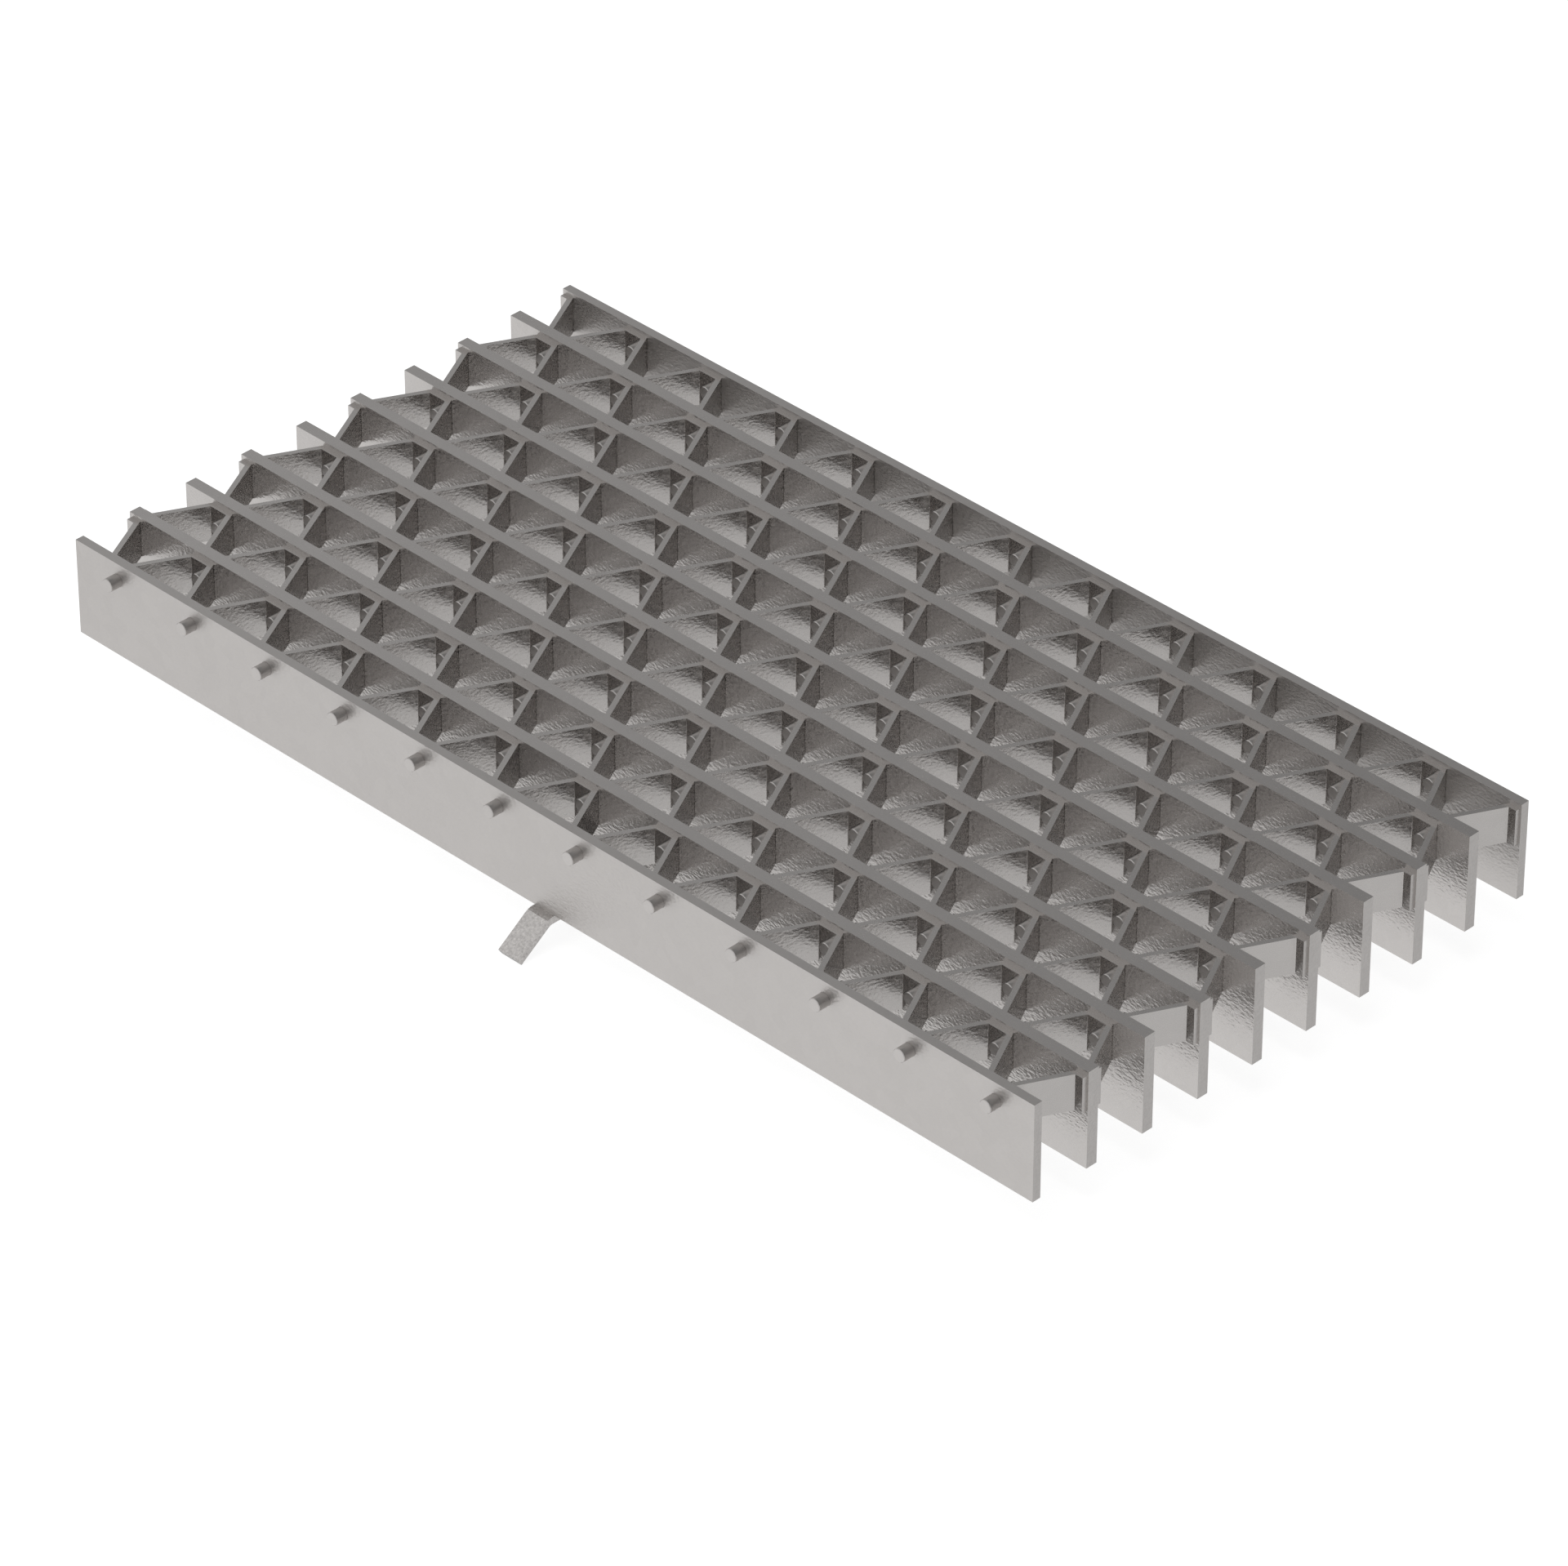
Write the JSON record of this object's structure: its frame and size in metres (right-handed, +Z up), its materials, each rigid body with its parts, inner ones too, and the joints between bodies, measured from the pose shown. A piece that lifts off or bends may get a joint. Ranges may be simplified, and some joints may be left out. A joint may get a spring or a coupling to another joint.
{
  "type": "riveted steel grating panel",
  "caption": "Riveted steel grating panel: flat bearing bars on edge, joined by crimped reticuline bars with a rivet at each crossing, and a bent hold-down tab under the front edge.",
  "frame": {"origin": "on the floor under the middle of the panel: the bottom centre of its bounding box, level with the tip of the hold-down tab", "axes": "+X along the bearing bars, +Y across them from the edge bar with the tab to the plain edge bar, +Z up through the walking surface"},
  "size_m": [0.6144, 0.3468, 0.0681],
  "materials": {
    "bearing_bar": "satin grey, galvanised",
    "reticuline_bar": "satin grey, galvanised",
    "rivet": "satin grey, galvanised",
    "tab": "satin grey, galvanised"
  },
  "bodies": {
    "root": {"edge_bar_front": "bearing_bar", "bearing_bar_2": "bearing_bar", "bearing_bar_3": "bearing_bar", "bearing_bar_4": "bearing_bar", "bearing_bar_5": "bearing_bar", "bearing_bar_6": "bearing_bar", "bearing_bar_7": "bearing_bar", "bearing_bar_8": "bearing_bar", "bearing_bar_9": "bearing_bar", "edge_bar_back": "bearing_bar", "reticuline_bar_1": "reticuline_bar", "reticuline_bar_2": "reticuline_bar", "reticuline_bar_3": "reticuline_bar", "reticuline_bar_4": "reticuline_bar", "reticuline_bar_5": "reticuline_bar", "reticuline_bar_6": "reticuline_bar", "reticuline_bar_7": "reticuline_bar", "reticuline_bar_8": "reticuline_bar", "reticuline_bar_9": "reticuline_bar", "rivets_edge_bar_front": "rivet", "rivets_bearing_bar_2": "rivet", "rivets_bearing_bar_3": "rivet", "rivets_bearing_bar_4": "rivet", "rivets_bearing_bar_5": "rivet", "rivets_bearing_bar_6": "rivet", "rivets_bearing_bar_7": "rivet", "rivets_bearing_bar_8": "rivet", "rivets_bearing_bar_9": "rivet", "rivets_edge_bar_back": "rivet", "hold_down_tab": "tab"}
  },
  "joints": []
}
